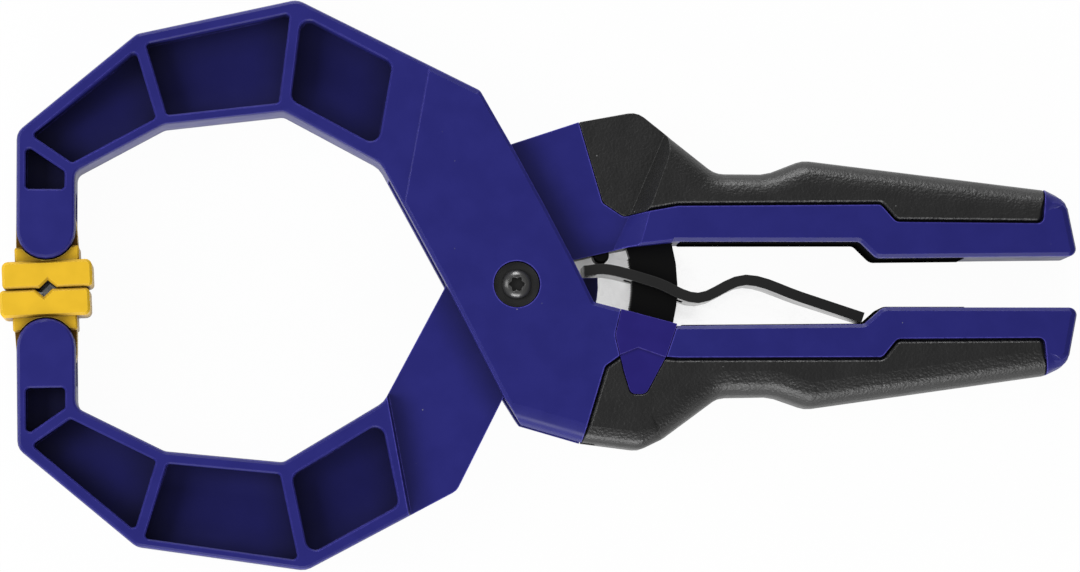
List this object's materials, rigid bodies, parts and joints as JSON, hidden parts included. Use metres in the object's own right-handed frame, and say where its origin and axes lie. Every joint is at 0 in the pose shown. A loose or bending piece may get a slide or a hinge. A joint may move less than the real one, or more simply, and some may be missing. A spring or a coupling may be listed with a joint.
{
  "type": "ratcheting spring clamp",
  "caption": "Hand clamp with two crossed, ribbed C-shaped arms on one screw, swivelling jaw pads, cushioned handles, a toothed ratchet bar, pinch release buttons and a leaf spring.",
  "frame": {"origin": "on the pivot screw's axis, at the flat outer face of its nut, which is also the clamp's far face", "axes": "+X from the jaws towards the handle tips, +Y towards the arm of the forked front lever, +Z along the pivot's axis towards the screw's head; +Z is the thickness"},
  "size_m": [0.3461, 0.1825, 0.0273],
  "materials": {
    "blue_plastic": "moulded, fine satin grain",
    "grip_rubber": "soft, fine matt grain",
    "yellow_plastic": "moulded satin",
    "black_plastic": "smooth, slight gloss",
    "black_steel": "black oxide, polished by handling",
    "bright_steel": "ground"
  },
  "bodies": {
    "front_half": {"front_lever": "blue_plastic", "lower_grip": "grip_rubber", "lower_inlay": "grip_rubber", "pivot_screw": "black_steel", "pivot_sleeve": "black_steel", "pivot_nut": "black_steel", "upper_pad_pin": "bright_steel", "pawl_pin": "bright_steel", "pawl_spring": "bright_steel"},
    "rear_half": {"rear_lever": "blue_plastic", "upper_grip": "grip_rubber", "upper_inlay": "grip_rubber", "ratchet_bar": "black_plastic", "ratchet_pin_inner": "bright_steel", "ratchet_pin_outer": "bright_steel", "spring_pin": "black_steel", "leaf_spring": "black_plastic", "lower_pad_pin": "bright_steel"},
    "upper_jaw_pad": {"upper_pad": "yellow_plastic"},
    "lower_jaw_pad": {"lower_pad": "yellow_plastic"},
    "front_button": {"release_button_front": "blue_plastic"},
    "back_button": {"release_button_back": "blue_plastic"},
    "catch": {"pawl": "bright_steel"}
  },
  "joints": [
    {"name": "jaw_pivot", "type": "hinge", "parent": "front_half", "child": "rear_half", "pos_m": [0, 0, 0.0135], "axis": [0, 0, 1], "range_deg": [0, 39.5], "deforming": ["leaf_spring"]},
    {"name": "upper_pad_swivel", "type": "hinge", "parent": "front_half", "child": "upper_jaw_pad", "pos_m": [-0.1508, 0.0173, 0.0135], "axis": [0, 0, 1], "range_deg": [0, 19.76]},
    {"name": "lower_pad_swivel", "type": "hinge", "parent": "rear_half", "child": "lower_jaw_pad", "pos_m": [-0.15053, -0.0206, 0.0135], "axis": [0, 0, 1], "range_deg": [-19.76, 0]},
    {"name": "release_front", "type": "slide", "parent": "front_half", "child": "front_button", "axis": [0, 0, -1], "range_m": [0, 0.0014], "stiffness_N_per_m": 1500, "springref_m": -0.0005},
    {"name": "release_back", "type": "slide", "parent": "front_half", "child": "back_button", "axis": [0, 0, 1], "range_m": [0, 0.0014]},
    {"name": "pawl_pivot", "type": "hinge", "parent": "front_half", "child": "catch", "pos_m": [0.02415, -0.02175, 0.0135], "axis": [0, 0, 1], "range_deg": [0, 5.46], "deforming": ["pawl_spring"]}
  ],
  "couplings": [
    {"joint": "upper_pad_swivel", "follows": "jaw_pivot", "ratio": 0.5},
    {"joint": "lower_pad_swivel", "follows": "jaw_pivot", "ratio": -0.5},
    {"joint": "release_back", "follows": "release_front", "ratio": 1},
    {"joint": "pawl_pivot", "follows": "release_front", "rad_per_m": 68}
  ]
}
